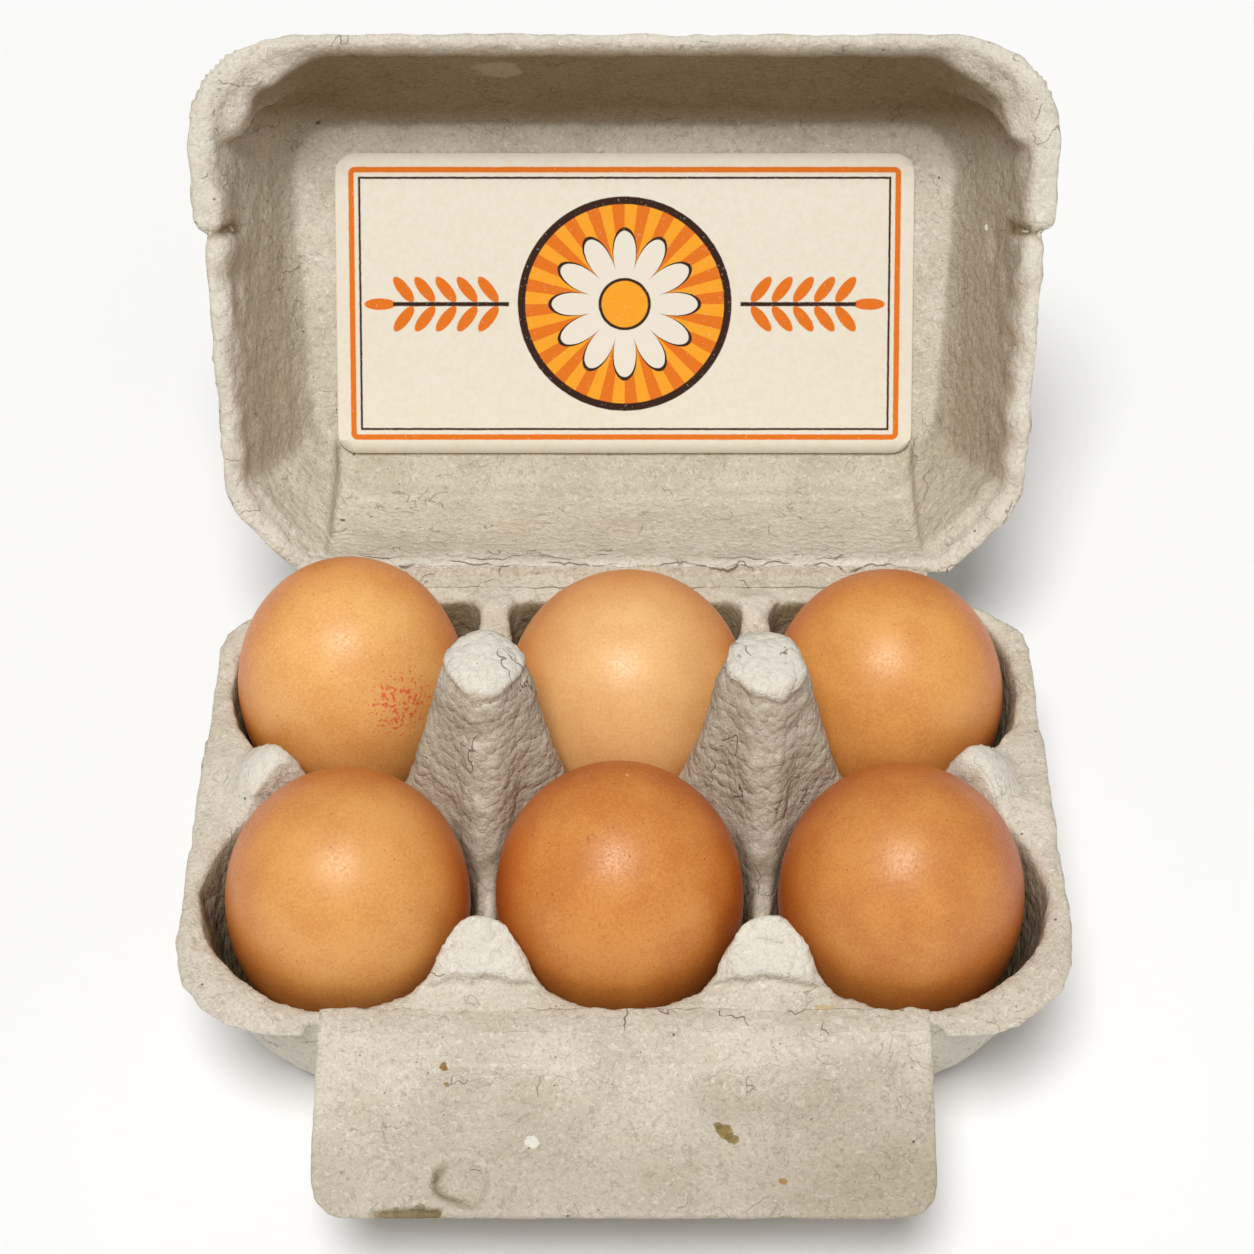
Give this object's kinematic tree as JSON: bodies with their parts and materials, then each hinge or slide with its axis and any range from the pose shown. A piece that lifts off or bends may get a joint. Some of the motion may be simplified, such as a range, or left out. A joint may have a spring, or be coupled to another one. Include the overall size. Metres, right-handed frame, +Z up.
{
  "type": "egg carton with eggs",
  "caption": "Moulded-pulp egg carton with a hinged lid, a fold-out lock flap and a paper label, filled with brown hen's eggs.",
  "frame": {"origin": "centre of the footprint box, on the table under the cups", "axes": "+X along a row of eggs, +Y from the lock flap towards the hinge and the open lid, +Z up"},
  "size_m": [0.1658, 0.2186, 0.1175],
  "materials": {
    "pulp_tray": "rough moulded pulp",
    "pulp_lid": "rough moulded pulp",
    "pulp_flap": "rough moulded pulp",
    "label_paper": "matt printed paper",
    "eggshell_front_left": "matt with fine pores",
    "eggshell_front_centre": "matt with fine pores",
    "eggshell_front_right": "matt with fine pores",
    "eggshell_rear_left": "matt with fine pores",
    "eggshell_rear_centre": "matt with fine pores",
    "eggshell_rear_right": "matt with fine pores"
  },
  "bodies": {
    "base": {"base_tray": "pulp_tray", "egg_front_left": "eggshell_front_left", "egg_front_centre": "eggshell_front_centre", "egg_front_right": "eggshell_front_right", "egg_rear_left": "eggshell_rear_left", "egg_rear_centre": "eggshell_rear_centre", "egg_rear_right": "eggshell_rear_right"},
    "lid": {"lid": "pulp_lid", "label": "label_paper"},
    "flap": {"lock_flap": "pulp_flap"}
  },
  "joints": [
    {"name": "lid_hinge", "type": "hinge", "parent": "base", "child": "lid", "pos_m": [0, 0.02765, 0.03745], "axis": [1, 0, 0], "range_deg": [-51, 129]},
    {"name": "flap_hinge", "type": "hinge", "parent": "base", "child": "flap", "pos_m": [0, -0.0757, 0.0373], "axis": [1, 0, 0], "range_deg": [-105.8, 44]}
  ]
}
